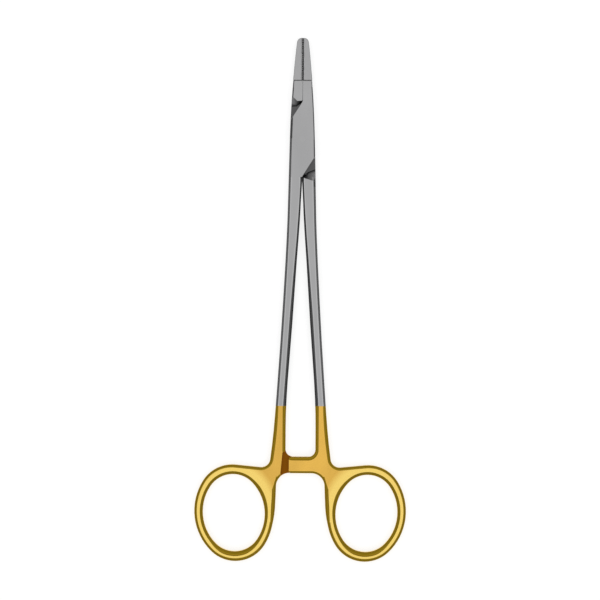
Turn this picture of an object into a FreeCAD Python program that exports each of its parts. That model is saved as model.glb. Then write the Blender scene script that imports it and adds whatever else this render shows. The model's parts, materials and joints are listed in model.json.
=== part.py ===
"""Needle holder with a box lock, 200 mm long, closed, lying flat with its tips towards +Y.

Millimetres. X runs across the instrument, Y along it and Z up through its thickness.
The origin is under the middle of the instrument, on the plane that the box lock rests on.

Two forged halves cross in the box lock. The box half carries the left ring, the two cheeks
of the box and the right jaw. The tongue half carries the right ring, the tongue that passes
through the box and the left jaw. Both start as the same forging, one of them turned over.
A pin joins them, and each jaw has a hard serrated insert set into its gripping face.
"""

import FreeCAD, Part

import math
import os

from FreeCAD import Vector

# Whole instrument
LENGTH = 200.0
BOX_THICKNESS = 5.6
SHANK_THICKNESS = 4.3
PARTING_GAP = 0.12

# Jaws
JAW_TIP_THICKNESS = 3.0
JAW_HEEL_THICKNESS = 4.0
JAW_STEP = 0.28
JAW_STEP_SLOPE_LENGTH = 0.45
NOSE_HALF_WIDTH = 2.28
NOSE_CORNER = 1.9
JAW_HALF_WIDTHS = ((0.25, 2.74), (0.66, 3.6), (1.0, 4.18))

# Jaw inserts
INSERT_LENGTH = 16.0
INSERT_THICKNESS = 0.7
INSERT_CHAMFER = 0.2
HEEL_RELIEF = 0.06
SERRATION_PITCH = 1.0
SERRATION_LAND = 0.16
SERRATION_DEPTH = 0.18
SERRATION_TILT = 45.0

# Box lock
PIN_FROM_TIPS = 38.7
PIN_DIAMETER = 2.2
PIN_CLEARANCE = 0.03
BOX_HALF_WIDTH = 4.8
BOX_FOOT_HALF_WIDTH = 5.14
BOX_LEVEL_ABOVE_PIN = 8.7
BOX_LEVEL_BELOW_PIN = 9.3
NOTCH_FROM_PIN = 14.5
NOTCH_AT_SIDE = 6.8
TONGUE_WAIST = 4.38
TONGUE_THICKNESS = 2.3
TONGUE_WEDGE = (4.75, 6.5)
LOCK_CLEARANCE = 0.1
CHEEK_CLEARANCE = 0.05
SHOULDER_CLEARANCE = 0.2
OPENING_ANGLE = 30.0

# Hollows beside the box, from the pin: where they bottom out and where they reach the flat
JAW_HOLLOW_FLOOR = ((0.06, 14.4), (2.3, 12.6), (7.0, 12.4))
JAW_HOLLOW_RIM = ((0.06, 14.6), (1.9, 14.8), (4.6, 19.2))
SHANK_HOLLOW_FLOOR = ((0.06, 14.4), (2.3, 12.6), (7.0, 10.7))
SHANK_HOLLOW_RIM = ((0.06, 14.6), (2.4, 15.5), (7.0, 17.3))

# Shanks: way down from box to ratchet, half width outside and half gap inside
SHANKS = (
    (0.05, 5.27, 0.23),
    (0.125, 5.45, 0.60),
    (0.30, 6.19, 1.84),
    (0.45, 7.05, 2.87),
    (0.60, 8.00, 3.98),
    (0.75, 9.08, 5.16),
    (0.90, 10.26, 5.69),
)
CROTCH_BELOW_BOX = 1.5
SHANK_LEVEL_BELOW_BOX = 23.0

# Finger rings
RING_LENGTH = 37.0
RING_WIDTH = 30.1
RING_TILT = 7.0
RING_FROM_AXIS = 10.3
RING_INSIDE = ((1.35, 0.92), (0.92, 0.35))
RING_JOINS_SIDE_AT = 20.0
RING_BAND_AT_SIDES = 3.25
RING_BAND_AT_ENDS = 3.75
OPENING_TILT = 5.0
WEB_HALF_WIDTH = 12.05
WEB_BELOW_RING_TOP = 1.3
WEB_RADIUS = 3.4

# Ratchet
ARM_ABOVE_RING_TOP = 3.05
ARM_HALF_GAP_AT_SHANK = 5.7
ARM_WIDTH = 6.3
ARM_PAST_AXIS = 4.46
ARM_TOP_RADIUS = 2.8
ARM_FOOT_RADIUS = 5.0
ARM_TIP_RADIUS = 1.0
ARM_FACE_GAP = 0.12
ARM_FOOT_INSIDE_RING = 1.15
SEAT_ABOVE_ARM = 2.2
SEAT_CORNER = 0.6
SEAT_INTO_SHANK = (1.15, 1.9)
TOOTH_COUNT = 5
TOOTH_PITCH = 1.3
TOOTH_HEIGHT = 0.6

# Bevels along the front and back: widths on the flat, and depth as a share of width
JAW_SIDE_BEVEL = 0.5
SHANK_OUTSIDE_BEVEL = 0.88
SHANK_INSIDE_BEVEL = 0.68
RING_OPENING_BEVEL = 1.2
BEVEL_DEPTH = 0.7


def oval_radii(length, width):
    """Radii at the ends and at the sides of an oval of four arcs that stands for an ellipse."""
    chord = math.hypot(length, width) / 2
    shorter = (chord - (length - width) / 2) / 2
    return shorter * chord / (length / 2), (chord - shorter) * chord / (width / 2)


# Places that follow from the sizes
MID_Z = BOX_THICKNESS / 2
PARTING = PARTING_GAP / 2
BOX_TOP = PIN_FROM_TIPS - NOTCH_FROM_PIN
BOX_FOOT = PIN_FROM_TIPS + NOTCH_FROM_PIN
BOX_LEVEL_START = PIN_FROM_TIPS - BOX_LEVEL_ABOVE_PIN
BOX_LEVEL_END = PIN_FROM_TIPS + BOX_LEVEL_BELOW_PIN
CROTCH = BOX_FOOT + CROTCH_BELOW_BOX
SHANK_LEVEL = BOX_FOOT + SHANK_LEVEL_BELOW_BOX
RING_END_RADIUS = oval_radii(RING_LENGTH, RING_WIDTH)[0]
RING_REACH = RING_END_RADIUS + (RING_LENGTH / 2 - RING_END_RADIUS) * math.cos(
    math.radians(RING_TILT)
)
RING_TOP = LENGTH - 2 * RING_REACH
ARM_TOP = RING_TOP - ARM_ABOVE_RING_TOP
ARM_FOOT = ARM_TOP + ARM_WIDTH
WEB_CORNER = RING_TOP + WEB_BELOW_RING_TOP
MARGIN = 5.0


def at(from_tips, x, z=0.0):
    """A point given by its distance from the tips, its place across and its height."""
    return Vector(x, LENGTH / 2 - from_tips, z)


def from_pin(x, up, z=0.0):
    """A point given from the pin, across and towards the tips."""
    return at(PIN_FROM_TIPS - up, x, z)


def line(start, end):
    return Part.LineSegment(start, end).toShape()


def arc(point_at, way, start, end):
    """The arc that a function of way and angle gives, between two angles."""
    points = [point_at(way, angle) for angle in (start, (start + end) / 2, end)]
    return Part.Arc(*points).toShape()


def spline(points, **directions):
    """A smooth curve through the points, with its end directions where they are given."""
    curve = Part.BSplineCurve()
    curve.interpolate(Points=points, **directions)
    return curve


def between(curve, start, end):
    """The part of a lengthwise curve between two distances from the tips."""

    def parameter(from_tips):
        low, high = curve.FirstParameter, curve.LastParameter
        while high - low > 1e-9:
            middle = (low + high) / 2
            if curve.value(middle).y > at(from_tips, 0).y:
                low = middle
            else:
                high = middle
        return low

    return curve.toShape(parameter(start), parameter(end))


def first_point(edge):
    return edge.valueAt(edge.FirstParameter)


def last_point(edge):
    return edge.valueAt(edge.LastParameter)


def run_on(start, end):
    """The end of a line moved on until the line is twice as long."""
    return start + (end - start) * 2


def face_inside(edges):
    return Part.Face(Part.Wire(Part.__sortEdges__(edges)))


def polygon(points):
    """The closed wire through the points."""
    return Part.makePolygon(points + points[:1])


def upright(points, low, high):
    """A prism on a polygon in plan, from one height to another."""
    base = Part.Face(polygon([Vector(p.x, p.y, low) for p in points]))
    return base.extrude(Vector(0, 0, high - low))


def across(section, half_width):
    """A section in the YZ plane drawn out to both sides."""
    return section.translated(Vector(-half_width, 0, 0)).extrude(Vector(2 * half_width, 0, 0))


def cylinder(radius, low, high):
    """A round bar on the pin's axis."""
    return Part.makeCylinder(radius, high - low, from_pin(0, 0, low))


def turned_over(shape):
    """The shape turned half a turn about the long axis of the instrument."""
    return shape.rotated(Vector(0, 0, MID_Z), Vector(0, 1, 0), 180)


def half_turn_about_pin(shape):
    return shape.rotated(from_pin(0, 0), Vector(0, 0, 1), 180)


def front_and_back(shape):
    """The shape and its reflection in the middle plane of the thickness."""
    return shape.fuse(shape.mirror(Vector(0, 0, MID_Z), Vector(0, 0, 1)))


def down_shank(way):
    """Distance from the tips, going down from the box to the ratchet."""
    return BOX_FOOT + way * (ARM_TOP - BOX_FOOT)


def outer_edge(side):
    """The outside of the closed instrument from nose to ring, on the right (1) or left (-1)."""
    jaw = [(share * BOX_TOP, half) for share, half in JAW_HALF_WIDTHS]
    box = [(PIN_FROM_TIPS, BOX_HALF_WIDTH), (BOX_FOOT, BOX_FOOT_HALF_WIDTH)]
    shank = [(down_shank(way), half) for way, half, _ in SHANKS]
    stations = [(NOSE_CORNER, NOSE_HALF_WIDTH)] + jaw + box + shank
    stations.append((WEB_CORNER, WEB_HALF_WIDTH))
    return spline([at(from_tips, side * half) for from_tips, half in stations])


def inner_edge():
    """The inside of the left shank, from the crotch to the ratchet."""
    points = [at(CROTCH, -PARTING)]
    points += [at(down_shank(way), -gap) for way, _, gap in SHANKS]
    downwards = Vector(0, -1, 0)
    return spline(points, InitialTangent=downwards, FinalTangent=downwards)


class Oval:
    """An oval of four arcs about the left ring's centre, its top leaning from the axis."""

    def __init__(self, length, width, tilt):
        lean = math.radians(tilt)
        self.up = Vector(-math.sin(lean), math.cos(lean), 0)
        self.inward = Vector(math.cos(lean), math.sin(lean), 0)
        self.end_radius, self.side_radius = oval_radii(length, width)
        end_offset = length / 2 - self.end_radius
        side_offset = self.side_radius - width / 2
        centre = at(LENGTH - RING_REACH, -(RING_FROM_AXIS + RING_WIDTH / 2))
        self.end_centres = {way: centre + self.up * (way * end_offset) for way in (1, -1)}
        self.side_centres = {way: centre - self.inward * (way * side_offset) for way in (1, -1)}
        self.end_spread = math.atan2(side_offset, end_offset)
        self.side_spread = math.pi / 2 - self.end_spread

    def on_end(self, way, angle):
        """A point on the top (1) or foot (-1) arc, by its angle inwards from the long axis."""
        direction = self.up * (way * math.cos(angle)) + self.inward * math.sin(angle)
        return self.end_centres[way] + direction * self.end_radius

    def on_side(self, way, angle):
        """A point on the inner (1) or outer (-1) arc, by its angle upwards from the short axis."""
        direction = self.inward * (way * math.cos(angle)) + self.up * math.sin(angle)
        return self.side_centres[way] + direction * self.side_radius

    def down_inner_side(self, angle):
        """The direction of the inner arc at a place on it, going down."""
        return self.inward * math.sin(angle) - self.up * math.cos(angle)

    def arcs(self, start, end):
        """Edges from a place low on the inner arc, round the foot, to a place on the top arc."""
        joint, side_joint = self.end_spread, self.side_spread
        return [
            arc(self.on_side, 1, start, -side_joint),
            arc(self.on_end, -1, joint, -joint),
            arc(self.on_side, -1, -side_joint, side_joint),
            arc(self.on_end, 1, -joint, end),
        ]

    def all_round(self):
        return self.arcs(self.side_spread, self.end_spread)

    def touching(self, point):
        """The angle on the top arc where a line from a point above the ring's web touches."""
        away = point - self.end_centres[1]
        direction = math.atan2(away.dot(self.inward), away.dot(self.up))
        return direction - math.acos(self.end_radius / away.Length)


def blank_in_plan():
    """Plan of the forging with square corners, and the corners that are rounded afterwards."""
    right_side = outer_edge(1)
    right_edge = between(right_side, NOSE_CORNER, BOX_FOOT)
    nose_start = at(0, NOSE_HALF_WIDTH - NOSE_CORNER)
    nose_end = first_point(right_edge)
    nose = spline(
        [nose_start, nose_end],
        InitialTangent=Vector(1, 0, 0),
        FinalTangent=right_side.tangent(right_side.FirstParameter)[0],
    )

    inner = inner_edge()
    inner_end = inner.value(inner.LastParameter)
    arm_corner = at(ARM_TOP, -ARM_HALF_GAP_AT_SHANK)
    arm_tip_top = at(ARM_TOP, ARM_PAST_AXIS)
    arm_tip_foot = at(ARM_FOOT, ARM_PAST_AXIS)
    arm_foot_corner = at(ARM_FOOT, -(RING_FROM_AXIS - ARM_FOOT_INSIDE_RING))

    ring = Oval(RING_LENGTH, RING_WIDTH, RING_TILT)
    left_edge = between(outer_edge(-1), BOX_TOP, WEB_CORNER)
    web_corner = last_point(left_edge)
    ring_end = ring.touching(web_corner)
    ring_start = -math.radians(RING_JOINS_SIDE_AT)
    inside = [arm_foot_corner]
    inside += [at(LENGTH - RING_REACH * up, -(RING_FROM_AXIS - x)) for up, x in RING_INSIDE]
    ring_side = spline(
        inside + [ring.on_side(1, ring_start)],
        InitialTangent=Vector(0, -1, 0),
        FinalTangent=ring.down_inner_side(ring_start),
    )

    edges = [
        line(at(0, PARTING), nose_start),
        nose.toShape(),
        right_edge,
        line(last_point(right_edge), at(BOX_FOOT, -PARTING)),
        line(at(BOX_FOOT, -PARTING), at(CROTCH, -PARTING)),
        inner.toShape(),
        line(inner_end, arm_corner),
        line(arm_corner, arm_tip_top),
        line(arm_tip_top, arm_tip_foot),
        line(arm_tip_foot, arm_foot_corner),
        ring_side.toShape(),
        *ring.arcs(ring_start, ring_end),
        line(ring.on_end(1, ring_end), web_corner),
        left_edge,
        line(first_point(left_edge), at(BOX_TOP, PARTING)),
        line(at(BOX_TOP, PARTING), at(0, PARTING)),
    ]
    rounded = (
        (ARM_TOP_RADIUS, arm_corner),
        (ARM_FOOT_RADIUS, arm_foot_corner),
        (WEB_RADIUS, web_corner),
    )
    return face_inside(edges), rounded


def jaw_half_thickness(from_tips):
    """Half thickness of the forging's straight taper beside the insert."""
    tip, heel = JAW_TIP_THICKNESS / 2, JAW_HEEL_THICKNESS / 2
    return tip + (heel - tip) * from_tips / INSERT_LENGTH


def front_profile():
    """The front half seen from the side: tapered jaws, level box and thinner level shanks."""
    start = -MARGIN
    end = LENGTH + MARGIN
    box = BOX_THICKNESS / 2
    shank = SHANK_THICKNESS / 2

    def point(from_tips, half):
        return at(from_tips, 0, MID_Z + half)

    nose = point(start, jaw_half_thickness(start))
    heel = point(INSERT_LENGTH, jaw_half_thickness(INSERT_LENGTH))
    level = Vector(0, -1, 0)
    jaw_to_box = spline(
        [heel, point(BOX_LEVEL_START, box)], InitialTangent=heel - nose, FinalTangent=level
    )
    box_to_shank = spline(
        [point(BOX_LEVEL_END, box), point(SHANK_LEVEL, shank)],
        InitialTangent=level,
        FinalTangent=level,
    )
    edges = [
        line(nose, heel),
        jaw_to_box.toShape(),
        line(point(BOX_LEVEL_START, box), point(BOX_LEVEL_END, box)),
        box_to_shank.toShape(),
        line(point(SHANK_LEVEL, shank), point(end, shank)),
        line(point(end, shank), point(end, 0)),
        line(point(end, 0), point(start, 0)),
        line(point(start, 0), nose),
    ]
    return face_inside(edges)


def upright_edge(body, corner):
    """The upright edge of the body that stands on a corner of its plan."""
    for edge in body.Edges:
        ends = first_point(edge) - corner, last_point(edge) - corner
        if max(math.hypot(end.x, end.y) for end in ends) < 1e-4:
            return edge
    raise ValueError("the plan has no such corner")


def is_wall(face):
    """True for a face that stands upright."""
    low_u, high_u, low_v, high_v = face.ParameterRange
    return abs(face.normalAt((low_u + high_u) / 2, (low_v + high_v) / 2).z) < 1e-6


def bevelled(body, place, width):
    """The body with the rim beneath a place bevelled, and on from there while it runs smoothly."""
    above = Part.Vertex(place.x, place.y, BOX_THICKNESS)
    rim = min(body.Edges, key=lambda edge: edge.distToShape(above)[0])
    first_face = body.ancestorsOfType(rim, Part.Face)[0]
    depth = BEVEL_DEPTH * width
    sizes = (depth, width) if is_wall(first_face) else (width, depth)
    return body.makeChamfer(*sizes, [rim])


def blank():
    """The forging that both halves start from: right jaw, box, left shank, ring and arm."""
    plan, rounded = blank_in_plan()
    opening = Oval(
        RING_LENGTH - 2 * RING_BAND_AT_ENDS, RING_WIDTH - 2 * RING_BAND_AT_SIDES, OPENING_TILT
    )
    above_middle = Vector(0, 0, MID_Z)
    depth = Vector(0, 0, BOX_THICKNESS)
    body = plan.translated(above_middle).extrude(depth)
    for radius, corner in rounded:
        body = body.makeFillet(radius, [upright_edge(body, corner)])
    body = body.cut(face_inside(opening.all_round()).translated(above_middle).extrude(depth))
    body = body.common(across(front_profile(), RING_FROM_AXIS + RING_WIDTH + MARGIN))
    body = bevelled(body, from_pin(BOX_HALF_WIDTH, 0), JAW_SIDE_BEVEL)
    body = bevelled(body, from_pin(-BOX_HALF_WIDTH, 0), SHANK_OUTSIDE_BEVEL)
    body = bevelled(body, at(ARM_TOP, 0), SHANK_INSIDE_BEVEL)
    body = bevelled(body, opening.on_end(-1, 0), RING_OPENING_BEVEL)
    for corner in at(ARM_TOP, ARM_PAST_AXIS), at(ARM_FOOT, ARM_PAST_AXIS):
        body = body.makeFillet(ARM_TIP_RADIUS, [upright_edge(body, corner)])
    return front_and_back(body).removeSplitter()


def jaw_step():
    """What is ground off the front and back of the jaws beside the inserts."""
    surface = MID_Z + jaw_half_thickness(INSERT_LENGTH)
    nose = at(-MARGIN, 0, MID_Z + jaw_half_thickness(-MARGIN) - JAW_STEP)
    heel = at(INSERT_LENGTH, 0, surface - JAW_STEP)
    outside = run_on(heel, at(INSERT_LENGTH + JAW_STEP_SLOPE_LENGTH, 0, surface))
    section = Part.Face(polygon([nose, heel, outside, Vector(0, nose.y, outside.z)]))
    return front_and_back(across(section, 2 * BOX_HALF_WIDTH))


def ratchet_recess():
    """What is taken off the arm's front, down to its meeting face, with a step at the shank."""
    top = ARM_TOP - SEAT_ABOVE_ARM
    foot = ARM_FOOT + MARGIN
    step_at_top, step_at_foot = (-(ARM_HALF_GAP_AT_SHANK + into) for into in SEAT_INTO_SHANK)
    past_tip = ARM_PAST_AXIS + MARGIN
    points = [
        at(top, past_tip),
        at(top, -ARM_HALF_GAP_AT_SHANK),
        at(top + SEAT_CORNER, step_at_top),
        at(ARM_FOOT, step_at_foot),
        at(foot, step_at_foot),
        at(foot, past_tip),
    ]
    return upright(points, MID_Z - ARM_FACE_GAP / 2, BOX_THICKNESS + MARGIN)


def ratchet_grooves():
    """Saw-tooth grooves in the arm's meeting face, steep on the side that holds."""
    start = at(ARM_TOP - MARGIN, -TOOTH_COUNT * TOOTH_PITCH / 2, MID_Z - ARM_FACE_GAP / 2)
    along_arm = Vector(0, -(ARM_WIDTH + 2 * MARGIN), 0)
    grooves = []
    for count in range(TOOTH_COUNT):
        steep = start + Vector(count * TOOTH_PITCH, 0, 0)
        section = [steep, steep - Vector(0, 0, TOOTH_HEIGHT), steep + Vector(TOOTH_PITCH, 0, 0)]
        grooves.append(Part.Face(polygon(section)).extrude(along_arm))
    return grooves


def shaped_blank():
    """The blank with its jaw ground, its ratchet arm halved and the teeth cut."""
    return blank().cut([jaw_step(), ratchet_recess()]).cut(ratchet_grooves())


def insert_space(face_at_tip, face_at_heel):
    """An upright slice of the right jaw, from a face near the parting line to the seat."""
    start = -MARGIN
    seat = PARTING + INSERT_THICKNESS
    slope = (face_at_heel - face_at_tip) / INSERT_LENGTH
    points = [
        at(start, face_at_tip + slope * start),
        at(start, seat),
        at(INSERT_LENGTH, seat),
        at(INSERT_LENGTH, face_at_heel),
    ]
    return upright(points, -MARGIN, BOX_THICKNESS + MARGIN)


def serrations(tilt):
    """Parallel V grooves across the gripping face of the right insert, at a slant."""
    half_groove = (SERRATION_PITCH - SERRATION_LAND) / 2
    spacing = SERRATION_PITCH / math.cos(math.radians(tilt))
    reach = JAW_HEEL_THICKNESS
    grooves = []
    for count in range(int((INSERT_LENGTH + 2 * reach) / spacing)):
        place = count * spacing - reach
        face = PARTING + HEEL_RELIEF * place / INSERT_LENGTH
        section = [
            at(place - 2 * half_groove, face - SERRATION_DEPTH),
            at(place, face + SERRATION_DEPTH),
            at(place + 2 * half_groove, face - SERRATION_DEPTH),
        ]
        groove = upright(section, MID_Z - reach, MID_Z + reach)
        grooves.append(groove.rotated(at(place, 0, MID_Z), Vector(1, 0, 0), tilt))
    return grooves


def jaw_insert(body):
    """The hard insert of the right jaw, cut from the jaw's own outline."""
    plate = body.common(insert_space(PARTING, PARTING + HEEL_RELIEF)).Solids[0]
    long_edges = []
    for edge in plate.Edges:
        start, end = first_point(edge), last_point(edge)
        beside_gap = max(start.x, end.x) < PARTING + HEEL_RELIEF + 1e-6
        if beside_gap and abs(start.y - end.y) > INSERT_LENGTH / 2:
            long_edges.append(edge)
    plate = plate.makeChamfer(INSERT_CHAMFER, long_edges)
    return plate.cut(serrations(SERRATION_TILT)).cut(serrations(-SERRATION_TILT))


def rotated_about_pin(x, up, degrees):
    """A point given from the pin, after the tongue half has opened."""
    turn = math.radians(degrees)
    return from_pin(
        x * math.cos(turn) - up * math.sin(turn), x * math.sin(turn) + up * math.cos(turn)
    )


def crossing(start_a, end_a, start_b, end_b):
    """Where two lines in plan cross, each given by two points."""
    along_a = end_a - start_a
    along_b = end_b - start_b
    gap = start_b - start_a
    share = (gap.x * along_b.y - gap.y * along_b.x) / (
        along_a.x * along_b.y - along_a.y * along_b.x
    )
    return start_a + along_a * share


def opposite(points):
    """The points turned half a turn about the pin."""
    pin = from_pin(0, 0)
    return [pin - (point - pin) for point in points]


def notch_line(lift=0.0):
    """Upper end of the cheeks, from the parting line out past the left side."""
    start = from_pin(PARTING, NOTCH_FROM_PIN + lift)
    side = from_pin(-BOX_HALF_WIDTH, NOTCH_AT_SIDE + lift)
    return start, run_on(start, side)


def notches():
    """What is cut off the box half to bare the tongue half's shoulders, at both ends."""
    start, end = notch_line()
    above = from_pin(end.x, NOTCH_FROM_PIN + MARGIN)
    corner = upright([start, end, above], -MARGIN, BOX_THICKNESS + MARGIN)
    return [corner, half_turn_about_pin(corner)]


def slot():
    """The passage between the cheeks, wide enough for the tongue from closed to fully open."""
    waist = TONGUE_WAIST / 2 + LOCK_CLEARANCE
    wedge_x, wedge_down = TONGUE_WEDGE
    top = from_pin(PARTING, NOTCH_FROM_PIN)
    open_waist = rotated_about_pin(waist, 0, OPENING_ANGLE)
    open_wedge = rotated_about_pin(wedge_x + LOCK_CLEARANCE, -wedge_down, OPENING_ANGLE)
    corner = crossing(top, from_pin(waist, 0), open_waist, open_wedge)
    outside = run_on(open_waist, open_wedge)
    upper_left = [top, from_pin(-outside.x, NOTCH_FROM_PIN)] + opposite([outside, corner])
    height = TONGUE_THICKNESS / 2 + CHEEK_CLEARANCE
    return upright(upper_left + opposite(upper_left), MID_Z - height, MID_Z + height)


def beside_tongue():
    """What is cut from the box length of the tongue half to leave its tongue."""
    waist = TONGUE_WAIST / 2
    wedge_x, wedge_up = TONGUE_WEDGE
    shoulder_up = NOTCH_FROM_PIN + SHOULDER_CLEARANCE
    outside = run_on(from_pin(-waist, 0), from_pin(-wedge_x, wedge_up))
    upper_left = [
        from_pin(-PARTING, shoulder_up),
        from_pin(outside.x, shoulder_up),
        outside,
        from_pin(-waist, 0),
    ]
    height = TONGUE_THICKNESS / 2
    tongue = upright(upper_left + opposite(upper_left), MID_Z - height, MID_Z + height)

    start, end = notch_line(SHOULDER_CLEARANCE)
    start.x = -PARTING
    shoulder = [start, end, from_pin(end.x, -shoulder_up)]
    box_length = upright(shoulder + opposite(shoulder), -MARGIN, BOX_THICKNESS + MARGIN)
    return box_length.cut(tongue)


def hollow(floor, rim):
    """The dip beside the cheek's end, from the tongue's level up to its rim on the flat."""
    floor_z = MID_Z + TONGUE_THICKNESS / 2
    within_box = [(x, NOTCH_AT_SIDE / 2) for x, _ in (floor[-1], floor[0])]
    wires = [
        polygon([from_pin(-x, up, z) for x, up in (*points, *within_box)])
        for points, z in ((floor, floor_z), (rim, BOX_THICKNESS))
    ]
    return front_and_back(Part.makeLoft(wires, True, True))


def pin():
    return cylinder(PIN_DIAMETER / 2, 0, BOX_THICKNESS)


def build():
    """The five pieces, closed."""
    forging = shaped_blank()
    insert = jaw_insert(forging)
    forging = forging.cut(insert_space(0, 0))
    bore = cylinder(PIN_DIAMETER / 2, -MARGIN, BOX_THICKNESS + MARGIN)
    tongue_bore = cylinder(PIN_DIAMETER / 2 + PIN_CLEARANCE, -MARGIN, BOX_THICKNESS + MARGIN)

    box_half = forging.cut(notches() + [slot(), bore])
    tongue_half = turned_over(forging).cut([beside_tongue(), tongue_bore])
    tongue_half = tongue_half.cut(hollow(JAW_HOLLOW_FLOOR, JAW_HOLLOW_RIM))
    shank_hollow = half_turn_about_pin(hollow(SHANK_HOLLOW_FLOOR, SHANK_HOLLOW_RIM))
    tongue_half = tongue_half.cut(shank_hollow)
    return {
        "box_half": box_half,
        "tongue_half": tongue_half,
        "lock_pin": pin(),
        "right_jaw_insert": insert,
        "left_jaw_insert": turned_over(insert),
    }


def main():
    os.makedirs("parts", exist_ok=True)
    for name, shape in build().items():
        shape.Solids[0].exportStep(f"parts/{name}.step")
        print(name, len(shape.Solids), shape.isValid(), round(shape.Volume, 2))


main()
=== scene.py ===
"""Dresses the needle holder: satin steel, gold plating and hard-metal inserts, on a pale floor."""

import json
import math

import bpy
from bpy.props import FloatProperty, FloatVectorProperty, IntProperty, PointerProperty
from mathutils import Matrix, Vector

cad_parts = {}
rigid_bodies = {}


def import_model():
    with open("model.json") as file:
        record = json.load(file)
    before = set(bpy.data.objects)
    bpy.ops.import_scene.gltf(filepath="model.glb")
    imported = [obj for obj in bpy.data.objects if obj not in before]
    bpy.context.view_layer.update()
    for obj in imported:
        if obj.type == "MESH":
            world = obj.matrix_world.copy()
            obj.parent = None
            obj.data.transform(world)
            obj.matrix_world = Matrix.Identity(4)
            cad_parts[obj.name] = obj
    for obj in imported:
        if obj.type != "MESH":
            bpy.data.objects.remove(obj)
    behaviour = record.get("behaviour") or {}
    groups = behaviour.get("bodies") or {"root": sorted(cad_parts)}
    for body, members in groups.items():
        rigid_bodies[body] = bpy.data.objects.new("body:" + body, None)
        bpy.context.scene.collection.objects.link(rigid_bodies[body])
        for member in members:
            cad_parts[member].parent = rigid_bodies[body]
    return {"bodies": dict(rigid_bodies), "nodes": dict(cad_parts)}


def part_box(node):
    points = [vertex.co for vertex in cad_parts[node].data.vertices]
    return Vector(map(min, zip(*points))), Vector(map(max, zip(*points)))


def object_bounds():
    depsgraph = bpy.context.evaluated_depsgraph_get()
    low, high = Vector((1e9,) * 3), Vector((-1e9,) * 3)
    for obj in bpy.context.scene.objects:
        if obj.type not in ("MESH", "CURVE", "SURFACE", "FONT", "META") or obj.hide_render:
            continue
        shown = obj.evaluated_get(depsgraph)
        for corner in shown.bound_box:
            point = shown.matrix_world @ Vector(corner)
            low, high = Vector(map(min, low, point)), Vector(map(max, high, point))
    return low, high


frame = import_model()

bl_info = {
    "name": "Needle holder finish",
    "version": (1, 0, 0),
    "blender": (4, 5, 0),
    "location": "3D View > Sidebar > Needle Holder",
    "description": "Gives the pieces of a needle holder their finishes and sets up its studio",
    "category": "Object",
}

MM = 0.001


def remove_start_up_objects():
    """Takes out what Blender opens with, so that only the instrument is there."""
    own = set(frame["nodes"].values()) | set(frame["bodies"].values())
    for thing in list(bpy.data.objects):
        if thing not in own:
            bpy.data.objects.remove(thing)


remove_start_up_objects()
CAD_LOW, CAD_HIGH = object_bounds()
TIPS_Y = CAD_HIGH.y

# Places in millimetres: down from the tips, out from the axis, or both as (out, down)
PIN_LOW, PIN_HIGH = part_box("lock_pin")
PIN_Y = (PIN_LOW.y + PIN_HIGH.y) / 2 / MM
PIN_RADIUS = (PIN_HIGH.x - PIN_LOW.x) / 2 / MM
MIDDLE_Z = (CAD_LOW.z + CAD_HIGH.z) / 2 / MM
INSERT_LENGTH = 16.0
INSERT_GROOVE = 0.4
LOCK_START = 19.0
LOCK_FOOT = 53.2
LOCK_END = 57.0
CORNER_FROM_PIN = 14.5
SHANK_START = 58.0
SHANK_END = 139.5
SHANK_INSIDE = 5.6
HANDLE_START = 143.0
WINDOW_CORNER = (2.9, 157.4)
WINDOW_RADIUS = 2.8
WEB_CORNER = (12.05, 164.38)
WEB_RADIUS = 3.4
WEB_FALL = -0.098
WEB_RIM_START = 167.6
ARM_FOOT = 166.38

# Levels in millimetres from the middle of the thickness: the seats, the tongue and the rings' flats
SEAT_LEVEL = 0.2
TONGUE_LEVEL = 1.15
RING_LEVEL = 1.0

# Outlines as curves: where they start, their slope there and their bend
SHANK_OUTSIDE = (5.27, 0.0298, 0.000277)
HANDLE_OUTSIDE = (9.75, 0.0391, 0.0032)
WEB_INSIDE = (9.15, 0.0, 0.003)

# The rings: ovals of four arcs that lean outwards, and the ellipse that stands for their gold
RING_CENTRE = (25.35, 181.54)
RING_TILT = math.radians(7)
RING_END_RADIUS = 13.15
RING_END_OFFSET = 5.35
RING_SIDE_RADIUS = 21.63
RING_SIDE_OFFSET = 6.58
RING_JOINS = (24.7, 185.0)
RING_MIDDLE = (24.9, 181.5)
RING_HALF = (15.2, 18.4)

# How flat a face lies, from 0 (upright) to 1: where one kind of face turns into the next
UPRIGHT_TO_BEVEL = (0.3, 0.5)
UPRIGHT_TO_SLOPE = (0.3, 0.4)
BEVEL_TO_FLAT = (0.84, 0.98)
SLOPE_TO_FLAT = (0.975, 0.997)
GRIPPING_TO_CHAMFER = (0.2, 0.5)
CHAMFER_TO_FLAT = (0.75, 0.98)

# How far painted shade darkens, and painted highlights lighten, the steel's and the hard metal's
# colour
HOLLOW_SHADE = 0.25
SLOPE_SHARE = 0.55
CREASE_SHADE = 0.03
BAND_SHADE = 0.18
BAND_BEVEL_SHADE = 0.35
PAINTED_HIGHLIGHT_SHARE = 1.18
LINE_WIDTH = 0.4
OUTER_LINE = (1.3, 0.85)
GRIPPING_SHADE = 0.2
GRIPPING_SHARE = 0.6

# Soft patches, grinding marks and grit
PATCHES = (0.3, 0.7)
PATCH_ROUGHNESS = 0.06
MARKS_ROUGHNESS = 0.12
MARKS_DISTANCE = 0.02 * MM
GRIT_ROUGHNESS = 0.2
GRIT_STRENGTH = 0.25
GRIT_DISTANCE = 0.01 * MM

# Light tent: how much of the overhead brightness a direction gets, by its height from 0 to 1
TENT_RISE = (
    (0.0, 0.0), (0.40, 0.0), (0.55, 0.2), (0.68, 0.5),
    (0.78, 0.85), (0.86, 1.35), (0.93, 1.3), (0.975, 1.0),
)

# Camera and floor
LOOK_AT = (-0.53 * MM, -0.13 * MM)
FAR_END = 50
FLOOR_HALF = 4.0
FLOOR_GAP = 0.02 * MM
LAMP_SPREAD = math.radians(70)


# Sizes and colours that a user would change


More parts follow.
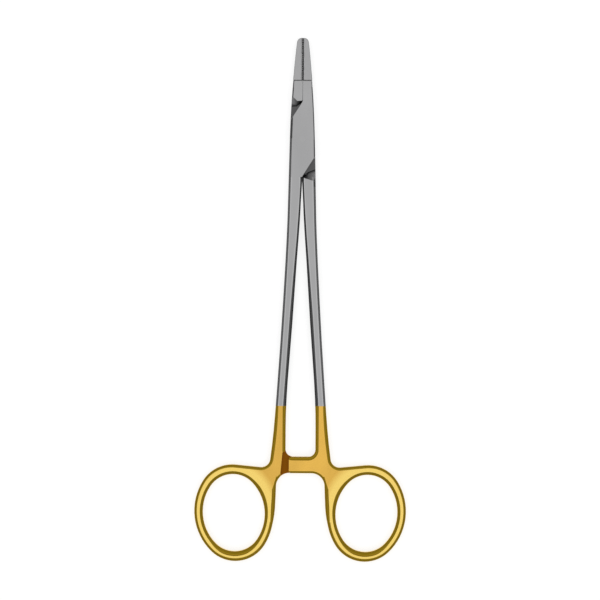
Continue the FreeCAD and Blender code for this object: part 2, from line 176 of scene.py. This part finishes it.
class SteelFinish(bpy.types.PropertyGroup):
    colour: FloatVectorProperty(
        name="Colour", description="Colour of the satin steel", subtype="COLOR", size=3,
        default=(0.40, 0.40, 0.404), min=0, max=1,
    )
    roughness: FloatProperty(
        name="Roughness", description="How soft the reflections in the steel are",
        default=0.30, min=0, max=1,
    )
    # Width of the band of painted shade along the shanks' inner sides
    band: FloatProperty(
        name="Band", description="Width of the dark band along the shanks' inner sides",
        unit="LENGTH", default=0.68 * MM, min=0, max=2 * MM,
    )
    grain_width: FloatProperty(
        name="Grain width", description="Width of one grinding mark", unit="LENGTH",
        default=0.12 * MM, min=0.01 * MM, max=2 * MM,
    )
    grain_length: FloatProperty(
        name="Grain length", description="Length of one grinding mark", unit="LENGTH",
        default=5 * MM, min=0.1 * MM, max=50 * MM,
    )
    grain_depth: FloatProperty(
        name="Grain depth", description="Strength of the grinding marks' relief",
        default=0.05, min=0, max=1,
    )


class Edges(bpy.types.PropertyGroup):
    width: FloatProperty(
        name="Width", description="Width of the polished edge between two faces", unit="LENGTH",
        default=0.12 * MM, min=0, max=1 * MM,
    )
    insert_width: FloatProperty(
        name="Insert width", description="Width of the worn edge on the jaw inserts", unit="LENGTH",
        default=0.02 * MM, min=0, max=1 * MM,
    )
    sharpest: FloatProperty(
        name="Sharpest", description="Faces that meet at less than this angle keep their edge",
        unit="ROTATION", default=math.radians(18), min=0, max=math.pi,
    )
    steps: IntProperty(
        name="Steps", description="Number of faces across a polished edge",
        default=3, min=1, max=12,
    )


class GoldFinish(bpy.types.PropertyGroup):
    colour: FloatVectorProperty(
        name="Colour", description="Colour of the gold plating on the handles",
        subtype="COLOR", size=3, default=(0.77, 0.46, 0.088), min=0, max=1,
    )
    ring_colour: FloatVectorProperty(
        name="Ring colour", description="Colour of the brighter plating on the rings",
        subtype="COLOR", size=3, default=(0.97, 0.70, 0.18), min=0, max=1,
    )
    deep_colour: FloatVectorProperty(
        name="Deep colour", description="Colour of the plating on the bevels",
        subtype="COLOR", size=3, default=(0.88, 0.56, 0.03), min=0, max=1,
    )
    # Painted shade: colour of the dark bands on the flats
    band_shade_colour: FloatVectorProperty(
        name="Band colour", description="Colour of the darker bands on the flats",
        subtype="COLOR", size=3, default=(0.24, 0.145, 0.008), min=0, max=1,
    )
    # Painted shade in the milled ratchet seats; their milling shows in the added roughness
    seat_shade_colour: FloatVectorProperty(
        name="Seat colour", description="Colour of the plating in the milled ratchet seats",
        subtype="COLOR", size=3, default=(0.22, 0.075, 0.004), min=0, max=1,
    )
    roughness: FloatProperty(
        name="Roughness", description="How soft the reflections in the plating are",
        default=0.2, min=0, max=1,
    )
    # Width of the band of painted shade above the ratchet
    band: FloatProperty(
        name="Band", description="Width of the darker band above the ratchet", unit="LENGTH",
        default=1.2 * MM, min=0, max=3 * MM,
    )
    # Width of the rim of painted shade outside the handles and rings
    rim: FloatProperty(
        name="Rim", description="Width of the darker rim outside the handles and rings",
        unit="LENGTH", default=1.15 * MM, min=0, max=3 * MM,
    )
    start: FloatProperty(
        name="Start", description="Distance of the plating's edge from the jaw tips",
        unit="LENGTH", default=140.6 * MM, min=0, max=200 * MM,
    )


class InsertFinish(bpy.types.PropertyGroup):
    colour: FloatVectorProperty(
        name="Colour", description="Colour of the hard metal", subtype="COLOR", size=3,
        default=(0.40, 0.40, 0.405), min=0, max=1,
    )
    roughness: FloatProperty(
        name="Roughness", description="How soft the reflections in the hard metal are",
        default=0.42, min=0, max=1,
    )
    grit_size: FloatProperty(
        name="Grit size", description="Size of the sintered grains", unit="LENGTH",
        default=0.06 * MM, min=0.005 * MM, max=1 * MM,
    )


class Studio(bpy.types.PropertyGroup):
    lens: FloatProperty(
        name="Lens", description="Focal length of the camera", unit="CAMERA",
        default=150, min=20, max=500,
    )
    view_width: FloatProperty(
        name="View width", description="Width of the picture on the instrument", unit="LENGTH",
        default=228.9 * MM, min=10 * MM, max=1000 * MM,
    )
    lean: FloatProperty(
        name="Lean", description="How far the instrument leans to the right in the picture",
        unit="ROTATION", default=math.radians(0.35), min=-0.5, max=0.5,
    )
    overhead: FloatProperty(
        name="Overhead", description="Brightness of the light tent's top",
        default=0.92, min=0, max=5,
    )
    sides: FloatProperty(
        name="Sides", description="Brightness of the light tent's sides",
        default=0.21, min=0, max=5,
    )
    fill: FloatProperty(
        name="Fill", description="Strength of the soft lamp on the floor",
        default=1.9, min=0, max=20,
    )
    whiteness: FloatProperty(
        name="Whiteness", description="How much of the floor shows plain white", subtype="FACTOR",
        default=0.75, min=0, max=1,
    )
    floor_colour: FloatVectorProperty(
        name="Floor colour", description="Colour of the floor", subtype="COLOR", size=3,
        default=(0.93, 0.93, 0.93), min=0, max=1,
    )


# Shader graphs


class Socket:
    """An output socket that arithmetic can be written with."""

    def __init__(self, graph, output):
        self.graph = graph
        self.output = output

    def math(self, operation, *values):
        return self.graph.node("ShaderNodeMath", {"operation": operation}, dict(enumerate(values)))

    def __add__(self, other):
        return self.math("ADD", self, other)

    def __radd__(self, other):
        return self.math("ADD", other, self)

    def __sub__(self, other):
        return self.math("SUBTRACT", self, other)

    def __rsub__(self, other):
        return self.math("SUBTRACT", other, self)

    def __mul__(self, other):
        return self.math("MULTIPLY", self, other)

    def __rmul__(self, other):
        return self.math("MULTIPLY", other, self)

    def __truediv__(self, other):
        return self.math("DIVIDE", self, other)

    def __rtruediv__(self, other):
        return self.math("DIVIDE", other, self)

    def positive(self):
        return self.math("MAXIMUM", self, 0.0)

    def root(self):
        return self.math("SQRT", self)

    def __abs__(self):
        return self.math("ABSOLUTE", self)

    def __gt__(self, other):
        return self.math("GREATER_THAN", self, other)

    def __lt__(self, other):
        return self.math("LESS_THAN", self, other)

    def between(self, low, high):
        """1 where it lies between low and high."""
        return (self > low) * (self < high)

    def within(self, low, high):
        """0 at low, 1 at high and straight between them."""
        return self.graph.node(
            "ShaderNodeMapRange", {"clamp": True},
            {"Value": self, "From Min": low, "From Max": high, "To Min": 0.0, "To Max": 1.0},
        )


class Graph:
    """The node tree of a material, a modifier or a world."""

    def __init__(self, tree):
        self.tree = tree
        tree.nodes.clear()

    def node(self, kind, settings=None, inputs=None, output=0):
        """A new node with its settings made first, then its inputs set or linked."""
        made = self.tree.nodes.new(kind)
        for name, value in (settings or {}).items():
            if name == "stops":
                self.set_stops(made.color_ramp, value)
            else:
                setattr(made, name, value)
        for name, value in (inputs or {}).items():
            if isinstance(value, Socket):
                self.tree.links.new(value.output, made.inputs[name])
            else:
                made.inputs[name].default_value = value
        return Socket(self, made.outputs[output]) if made.outputs else made

    @staticmethod
    def set_stops(ramp, stops):
        while len(ramp.elements) > 1:
            ramp.elements.remove(ramp.elements[-1])
        first, *rest = stops
        ramp.elements[0].position, ramp.elements[0].color = first
        for position, colour in rest:
            ramp.elements.new(position).color = colour

    def mix(self, factor, low, high):
        """A colour between two others."""
        return self.node(
            "ShaderNodeMix", {"data_type": "RGBA"}, {"Factor": factor, 6: low, 7: high}, output=2
        )

    def ray(self, kind):
        """1 where the light path is of this kind."""
        path = self.node("ShaderNodeLightPath")
        return Socket(self, path.output.node.outputs[kind])

    def split(self, vector):
        """The three parts of a place, in millimetres."""
        parts = self.node("ShaderNodeSeparateXYZ", inputs={"Vector": vector}).output.node.outputs
        return (Socket(self, parts[axis]) / MM for axis in "XYZ")

    def combine(self, x, y, z):
        return self.node("ShaderNodeCombineXYZ", inputs={"X": x, "Y": y, "Z": z})

    def noise(self, vector, scale=1.0, detail=2.0, roughness=0.5):
        return self.node(
            "ShaderNodeTexNoise", {"noise_dimensions": "3D"},
            {"Vector": vector, "Scale": scale, "Detail": detail, "Roughness": roughness},
        )


class Material(Graph):
    """The graph of a material."""

    def __init__(self, name):
        self.material = bpy.data.materials.new(name)
        self.material.use_nodes = True
        super().__init__(self.material.node_tree)

    def finish(self, shader):
        """Ends the graph in a shader."""
        self.node("ShaderNodeOutputMaterial", inputs={"Surface": shader})
        return self.material


class Surface(Material):
    """A metal's graph, with the place on the piece in millimetres."""

    def __init__(self, name):
        super().__init__(name)
        self.x, self.y, self.z = self.split(self.node("ShaderNodeTexCoord", output=3))

    def facing(self):
        """1 where a face looks straight up or down, 0 where it stands upright."""
        normal = self.node("ShaderNodeNewGeometry", output=1)
        return abs(self.node("ShaderNodeSeparateXYZ", inputs={"Vector": normal}, output=2))

    def relief(self, strength, distance, height):
        return self.node(
            "ShaderNodeBump", inputs={"Strength": strength, "Distance": distance, "Height": height}
        )

    def metal(self, colour, roughness, relief):
        """Ends the graph in a metal."""
        inputs = {"Base Color": colour, "Metallic": 1.0, "Roughness": roughness, "Normal": relief}
        return self.finish(self.node("ShaderNodeBsdfPrincipled", inputs=inputs))


class HalfSurface(Surface):
    """The graph of a forged half, with its flats, levels and patches."""

    def __init__(self, name):
        super().__init__(name)
        self.aside = abs(self.x)
        self.from_tips = TIPS_Y / MM - self.y
        self.level = abs(self.z - MIDDLE_Z)
        self.lying = self.facing()
        self.not_upright = self.lying.within(*UPRIGHT_TO_BEVEL)
        self.flat = self.lying.within(*BEVEL_TO_FLAT)
        self.patches = self.noise(self.combine(self.x / 9, self.y / 22, self.z / 9))

    def patchy(self, colour, dark, light):
        """The colour, from a darker to a lighter shade of it in soft patches."""
        return self.mix(self.patches.within(*PATCHES), shade(colour, dark), shade(colour, light))


def shade(colour, share=1.0):
    """The colour times a share, with full alpha."""
    return (*(part * share for part in colour), 1.0)


def curve(way, outline):
    """How far aside an outline is, some way down it."""
    start, slope, bend = outline
    return way * (way * bend + slope) + start


def near_corner(aside, along, radius):
    """1 within a radius of a corner whose two sides run on straight."""
    aside, along = aside.positive(), along.positive()
    return aside * aside + along * along < radius * radius


def grinding_marks(surface, steel):
    """Fine relief that runs along the instrument."""
    across = steel.grain_width / MM
    along = steel.grain_length / MM
    stretched = surface.combine(surface.x / across, surface.y / along, surface.z / across)
    return surface.noise(stretched, detail=3.0, roughness=0.6)


def painted_lock_shade(half, steel, colour):
    """The steel's colour, with painted shade in the hollows beside the box lock and darker painted
    shade in their creases and corners.
    """
    in_lock = (LOCK_END - half.from_tips).within(0.0, 0.1)
    in_lock = in_lock * (half.from_tips - LOCK_START).within(0.0, 0.1)
    recess = half.level.between(0.5, TONGUE_LEVEL + 0.1) * (half.lying > 0.95) * in_lock
    from_pin = half.y - PIN_Y
    beside_cheek = half.x * from_pin < -1.0
    sloping = (1.0 - half.lying.within(*SLOPE_TO_FLAT)) * half.lying.within(*UPRIGHT_TO_SLOPE)
    slope = sloping * beside_cheek * in_lock
    crease = (1.0 - (half.level - TONGUE_LEVEL).within(0.05, 0.5)) * slope
    from_corner = abs(from_pin) - CORNER_FROM_PIN
    corner = 1.0 - (half.x * half.x + from_corner * from_corner).within(0.3, 5.0)
    hollow = (recess + slope).within(0, 1)

    # Painted shade on the recess and the slope, darker painted shade in the crease and the corner
    colour = half.mix(recess, colour, shade(steel.colour, HOLLOW_SHADE))
    colour = half.mix(slope * SLOPE_SHARE, colour, shade(steel.colour, HOLLOW_SHADE))
    colour = half.mix(crease, colour, shade(steel.colour, CREASE_SHADE))
    return half.mix(corner * hollow, colour, shade(steel.colour, CREASE_SHADE))


def shank_bands(half, steel, colour):
    """The steel's colour, with a dark band of painted shade inside the shanks and lines of painted
    highlight beside the bevels.
    """
    inner_side = SHANK_INSIDE * half.from_tips.within(SHANK_START, SHANK_END)
    inner_band = inner_side + steel.band / MM + half.from_tips.within(75, 105) * 0.4
    outer_side = curve(half.from_tips - SHANK_START, SHANK_OUTSIDE)
    on_shank = (half.from_tips > LOCK_FOOT) * half.not_upright
    painted_shade_band = (half.aside < inner_band) * on_shank
    inner_line = half.aside.between(inner_band, inner_band + LINE_WIDTH)
    outer_line = half.aside.between(*(outer_side - inwards for inwards in OUTER_LINE))
    painted_highlight_line = (inner_line + outer_line).within(0, 1) * on_shank * half.flat

    # Painted shade on the band, painted highlight on the lines
    on_bevel, on_flat = shade(steel.colour, BAND_BEVEL_SHADE), shade(steel.colour, BAND_SHADE)
    colour = half.mix(painted_shade_band, colour, half.mix(half.flat, on_bevel, on_flat))
    return half.mix(painted_highlight_line, colour, shade(steel.colour, PAINTED_HIGHLIGHT_SHARE))


def ring_depth(half):
    """How far a place lies inside a ring's outline."""
    outwards = half.aside - RING_CENTRE[0]
    upwards = RING_CENTRE[1] - half.from_tips
    sine, cosine = math.sin(RING_TILT), math.cos(RING_TILT)
    short = abs(upwards * sine - outwards * cosine)
    long = abs(outwards * sine + upwards * cosine)
    past_side = short + RING_SIDE_OFFSET
    past_end = long - RING_END_OFFSET
    end_depth = RING_END_RADIUS - (short * short + past_end * past_end).root()
    side_depth = RING_SIDE_RADIUS - (past_side * past_side + long * long).root()
    at_end = past_end * RING_SIDE_OFFSET > short * RING_END_OFFSET
    return side_depth + (end_depth - side_depth) * at_end


def outer_rim(half, width):
    """1 along the outside of the handles and rings, where a rim of painted shade goes."""
    aside, from_tips = half.aside, half.from_tips
    handle_side = curve(from_tips - HANDLE_START, HANDLE_OUTSIDE)
    web_top = WEB_CORNER[1] + (aside - WEB_CORNER[0]) * WEB_FALL
    above_web = near_corner(
        handle_side + WEB_RADIUS - aside, from_tips - web_top + WEB_RADIUS, WEB_RADIUS + width
    )
    taper = from_tips.within(167.5, 172.5) * (1.3 - from_tips.within(179.0, 186.0) * 0.3)
    web_side = curve(from_tips - ARM_FOOT, WEB_INSIDE) + taper * width
    beside_web = (aside < web_side) * from_tips.between(WEB_RIM_START, RING_JOINS[1])
    ring_width = width * (1.0 - aside.within(RING_JOINS[0], RING_JOINS[0] + 9) * 0.12)
    past_web = (aside > RING_JOINS[0]) + (from_tips > RING_JOINS[1])
    ring = (ring_depth(half) < ring_width) * past_web
    rim = above_web * (aside < RING_JOINS[0]) + beside_web + ring
    return rim * (from_tips > HANDLE_START - 3)


def plating_colour(half, gold, seat):
    """Gold, brighter on the rings and darker on bevels, with dark bands of painted shade along the
    rims, above the ratchet and beside the ring openings, and painted shade on the ratchet's seats.
    """
    across = (half.aside - RING_MIDDLE[0]) / RING_HALF[0]
    along = (RING_MIDDLE[1] - half.from_tips) / RING_HALF[1]
    from_middle = across * across + along * along
    ring = 1.0 - from_middle.within(0.9, 1.25)
    beside_window = near_corner(
        half.aside - WINDOW_CORNER[0], half.from_tips - WINDOW_CORNER[1],
        WINDOW_RADIUS + gold.band / MM,
    )
    beside_opening = from_middle < 0.69 + (0.0 - along).within(0.4, 0.85) * 0.12
    rim = outer_rim(half, gold.rim / MM)
    bands = (beside_window + beside_opening + rim).within(0, 1) * (half.level > RING_LEVEL)

    colour = half.mix(ring, half.patchy(gold.colour, 0.92, 1.1), shade(gold.ring_colour))
    # Painted shade in dark bands along the rims, above the ratchet and beside the ring openings
    colour = half.mix(bands * half.not_upright, colour, shade(gold.band_shade_colour))
    colour = half.mix((1.0 - half.flat) * half.not_upright, colour, shade(gold.deep_colour))
    # Painted shade on the ratchet's seats
    return half.mix(seat, colour, shade(gold.seat_shade_colour))


def half_material(steel, gold):
    """Satin steel that turns into gold plating down the shanks."""
    half = HalfSurface("satin_steel_and_gold")
    marks = grinding_marks(half, steel)
    wobble = half.noise(half.combine(half.x * 1.3, half.y * 0.2, half.z * 1.3)) * 0.25
    plated = (half.from_tips - gold.start / MM + wobble).within(0.0, 0.25)

    seat = (half.level < SEAT_LEVEL) * (half.lying > 0.9) * plated
    # Painted shade in the hollows beside the box lock
    steel_colour = painted_lock_shade(half, steel, half.patchy(steel.colour, 0.97, 1.03))
    # Painted shade band and painted highlight lines on the shanks
    steel_colour = shank_bands(half, steel, steel_colour)
    roughness = (
        steel.roughness + (gold.roughness - steel.roughness) * plated
        + (marks - 0.5) * MARKS_ROUGHNESS + (half.patches - 0.5) * PATCH_ROUGHNESS
        + seat * 0.2 - (1.0 - half.flat) * 0.08
    )
    return half.metal(
        half.mix(plated, steel_colour, plating_colour(half, gold, seat)),
        roughness, half.relief(steel.grain_depth, MARKS_DISTANCE, marks),
    )


def pin_material(steel):
    """The same satin steel, on the pin's ground ends."""
    surface = Surface("pin_steel")
    marks = grinding_marks(surface, steel)
    return surface.metal(
        surface.mix(marks, shade(steel.colour, 0.97), shade(steel.colour, 1.03)),
        steel.roughness + (marks - 0.5) * MARKS_ROUGHNESS,
        surface.relief(steel.grain_depth, MARKS_DISTANCE, marks),
    )


def insert_material(insert):
    """Sintered hard metal with a fine grit, with painted shade in the grooves and on the gripping
    sides.
    """
    surface = Surface("hard_metal")
    place = surface.combine(surface.x, surface.y, surface.z)
    grit = surface.noise(place, scale=MM / insert.grit_size, detail=3.0)
    clouds = surface.noise(place, scale=0.6).within(*PATCHES)
    lying = surface.facing()
    gripping = 1.0 - lying.within(*GRIPPING_TO_CHAMFER)
    flat = lying.within(*CHAMFER_TO_FLAT) * (abs(surface.x) > INSERT_GROOVE)
    groove = (1.0 - flat) * (1.0 - gripping)

    colour = surface.mix(clouds, shade(insert.colour, 0.85), shade(insert.colour, 1.1))
    # Painted shade on the gripping sides and in the grooves
    colour = surface.mix(gripping * GRIPPING_SHARE, colour, shade(insert.colour, GRIPPING_SHADE))
    colour = surface.mix(groove, colour, shade(insert.colour, CREASE_SHADE))
    roughness = insert.roughness + (grit - 0.5) * GRIT_ROUGHNESS
    return surface.metal(colour, roughness, surface.relief(GRIT_STRENGTH, GRIT_DISTANCE, grit))


# Polished edges


class Modifier(Graph):
    """A modifier's graph, with the place on the mesh in millimetres."""

    def __init__(self, name):
        tree = bpy.data.node_groups.new(name, "GeometryNodeTree")
        for way in ("INPUT", "OUTPUT"):
            tree.interface.new_socket("Geometry", in_out=way, socket_type="NodeSocketGeometry")
        super().__init__(tree)
        self.x, self.y, _ = self.split(self.node("GeometryNodeInputPosition"))
        self.from_tips = TIPS_Y / MM - self.y

    def on_edges(self, geometry, kind, name, value):
        """The geometry with a value kept on each edge."""
        return self.node(
            "GeometryNodeStoreNamedAttribute", {"data_type": kind, "domain": "EDGE"},
            {"Geometry": geometry, "Name": name, "Value": value},
        )


def edge_widths(name, sharpest, closing):
    """Brings the parting faces together and says how much each edge is polished."""
    graph = Modifier(name)
    offset = graph.combine(closing(graph) * MM, 0.0, 0.0)
    mesh = graph.node("NodeGroupInput")
    closed = graph.node("GeometryNodeSetPosition", inputs={"Geometry": mesh, "Offset": offset})
    sharp = graph.node("GeometryNodeInputMeshEdgeAngle") > sharpest
    from_pin = graph.y - PIN_Y
    beside_pin = graph.x * graph.x + from_pin * from_pin > (PIN_RADIUS + 0.3) ** 2
    beside_insert = (abs(graph.x) < 1.2) * graph.from_tips.between(0.4, INSERT_LENGTH + 0.5)
    weight = sharp * beside_pin * (1.0 - beside_insert * 0.85)
    weighted = graph.on_edges(closed, "FLOAT", "bevel_weight_edge", weight)
    marked = graph.on_edges(weighted, "BOOLEAN", "sharp_edge", sharp * (1.0 - beside_pin))
    graph.node("NodeGroupOutput", inputs={"Geometry": marked})
    return graph.tree


def close_parting(graph):
    """The halves' parting faces move almost to the middle."""
    return (abs(graph.x) < 0.07) * graph.x * -0.85


def close_inserts(graph):
    """The inserts' gripping sides move almost to the middle, more at the heel."""
    gripping = abs(graph.x) < 0.45
    return gripping * graph.x / abs(graph.x) * (graph.from_tips * (-0.06 / INSERT_LENGTH) - 0.05)


def dress(node, material, edges, width, closing):
    """Puts a material on a CAD node in place of its plain one, and polishes its edges."""
    piece = frame["nodes"][node]
    for slot in piece.material_slots:
        slot.material = material
    weld = piece.modifiers.new("joined_faces", "WELD")
    weld.merge_threshold = 0.001 * MM
    widths = piece.modifiers.new("edge_widths", "NODES")
    widths.node_group = edge_widths(node + "_edges", edges.sharpest, closing)
    polish = piece.modifiers.new("polished_edges", "BEVEL")
    polish.width = width
    polish.segments = edges.steps
    polish.limit_method = "WEIGHT"
    polish.use_clamp_overlap = False
    shading = piece.modifiers.new("even_shading", "WEIGHTED_NORMAL")
    shading.mode = "FACE_AREA"
    shading.weight = 100
    shading.keep_sharp = True


# The operators


class HOLDER_OT_halves(bpy.types.Operator):
    """Satin steel and gold plating on both halves"""

    bl_idname = "holder.halves"
    bl_label = "Dress the halves"

    def execute(self, context):
        scene = context.scene
        material = half_material(scene.holder_steel, scene.holder_gold)
        for node in ("box_half", "tongue_half"):
            dress(node, material, scene.holder_edges, scene.holder_edges.width, close_parting)
        return {"FINISHED"}


class HOLDER_OT_pin(bpy.types.Operator):
    """Satin steel on the box lock's pin"""

    bl_idname = "holder.pin"
    bl_label = "Dress the pin"

    def execute(self, context):
        edges = context.scene.holder_edges
        material = pin_material(context.scene.holder_steel)
        dress("lock_pin", material, edges, edges.width / 4, close_parting)
        return {"FINISHED"}


class HOLDER_OT_inserts(bpy.types.Operator):
    """Sintered hard metal on both jaw inserts"""

    bl_idname = "holder.inserts"
    bl_label = "Dress the jaw inserts"

    def execute(self, context):
        edges = context.scene.holder_edges
        material = insert_material(context.scene.holder_insert)
        for node in ("right_jaw_insert", "left_jaw_insert"):
            dress(node, material, edges, edges.insert_width, close_inserts)
        return {"FINISHED"}


class HOLDER_OT_stage(bpy.types.Operator):
    """Pale floor, light tent, soft lamp and camera"""

    bl_idname = "holder.stage"
    bl_label = "Set up the studio"

    def execute(self, context):
        studio = context.scene.holder_studio
        add_floor(studio)
        add_light_tent(context.scene, studio)
        add_soft_lamp(studio)
        add_camera(context.scene, studio)
        context.scene.view_settings.view_transform = "Standard"
        return {"FINISHED"}


def link(name, data):
    thing = bpy.data.objects.new(name, data)
    bpy.context.scene.collection.objects.link(thing)
    return thing


def add_floor(studio):
    """A wide pale floor under the instrument, which shows white where it is looked at."""
    mesh = bpy.data.meshes.new("floor")
    half = FLOOR_HALF
    corners = [(-half, -half, 0), (half, -half, 0), (half, half, 0), (-half, half, 0)]
    mesh.from_pydata(corners, [], [(0, 1, 2, 3)])
    floor = link("floor", mesh)
    floor.location.z = CAD_LOW.z - FLOOR_GAP
    graph = Material("pale_floor")
    kinds = ("Is Camera Ray", "Is Glossy Ray", "Is Transmission Ray")
    camera, glossy, transmission = (graph.ray(kind) for kind in kinds)
    seen = (camera + glossy + transmission).within(0, 1)
    matt = graph.node("ShaderNodeBsdfDiffuse", inputs={"Color": shade(studio.floor_colour)})
    white = graph.node("ShaderNodeEmission", inputs={"Strength": 1.0})
    seen = seen * studio.whiteness
    mixed = graph.node("ShaderNodeMixShader", inputs={0: seen, 1: matt, 2: white})
    mesh.materials.append(graph.finish(mixed))


def add_light_tent(scene, studio):
    """A sky that is bright overhead and darker at the sides."""
    world = bpy.data.worlds.new("light_tent")
    world.use_nodes = True
    scene.world = world
    graph = Graph(world.node_tree)
    direction = graph.node("ShaderNodeTexCoord", output=0)
    height = graph.node("ShaderNodeSeparateXYZ", inputs={"Vector": direction}, output=2)
    rise = studio.overhead - studio.sides
    levels = [(place, studio.sides + rise * share) for place, share in TENT_RISE]
    stops = [(place, (level, level, level, 1)) for place, level in levels]
    colour = graph.node("ShaderNodeValToRGB", {"stops": stops}, {"Fac": height})
    light = graph.node("ShaderNodeBackground", inputs={"Color": colour, "Strength": 1.0})
    graph.node("ShaderNodeOutputWorld", inputs={"Surface": light})


def add_soft_lamp(studio):
    """A broad lamp straight above, for what isn't metal."""
    data = bpy.data.lights.new("soft_lamp", "SUN")
    data.energy = studio.fill
    data.angle = LAMP_SPREAD
    lamp = link("soft_lamp", data)
    lamp.visible_glossy = False


def add_camera(scene, studio):
    """A long lens that looks straight down."""
    data = bpy.data.cameras.new("camera")
    data.lens = studio.lens
    data.clip_end = FAR_END
    camera = link("camera", data)
    height = studio.view_width * data.lens / data.sensor_width
    camera.location = Vector((*LOOK_AT, CAD_HIGH.z + height))
    camera.rotation_euler = (0, 0, studio.lean)
    scene.camera = camera


class HOLDER_PT_panel(bpy.types.Panel):
    bl_idname = "HOLDER_PT_panel"
    bl_label = "Needle Holder"
    bl_space_type = "VIEW_3D"
    bl_region_type = "UI"
    bl_category = "Needle Holder"

    def draw(self, context):
        for operator in OPERATORS:
            self.layout.operator(operator.bl_idname)


GROUPS = {
    "holder_edges": Edges,
    "holder_steel": SteelFinish,
    "holder_gold": GoldFinish,
    "holder_insert": InsertFinish,
    "holder_studio": Studio,
}
OPERATORS = (HOLDER_OT_stage, HOLDER_OT_halves, HOLDER_OT_pin, HOLDER_OT_inserts)


def register():
    for made in (*GROUPS.values(), *OPERATORS, HOLDER_PT_panel):
        bpy.utils.register_class(made)
    for name, group in GROUPS.items():
        setattr(bpy.types.Scene, name, PointerProperty(type=group))


def unregister():
    for name in GROUPS:
        delattr(bpy.types.Scene, name)
    for made in reversed((*GROUPS.values(), *OPERATORS, HOLDER_PT_panel)):
        bpy.utils.unregister_class(made)


def main():
    register()
    bpy.ops.holder.stage()
    bpy.ops.holder.halves()
    bpy.ops.holder.pin()
    bpy.ops.holder.inserts()


if __name__ == "__main__":
    main()
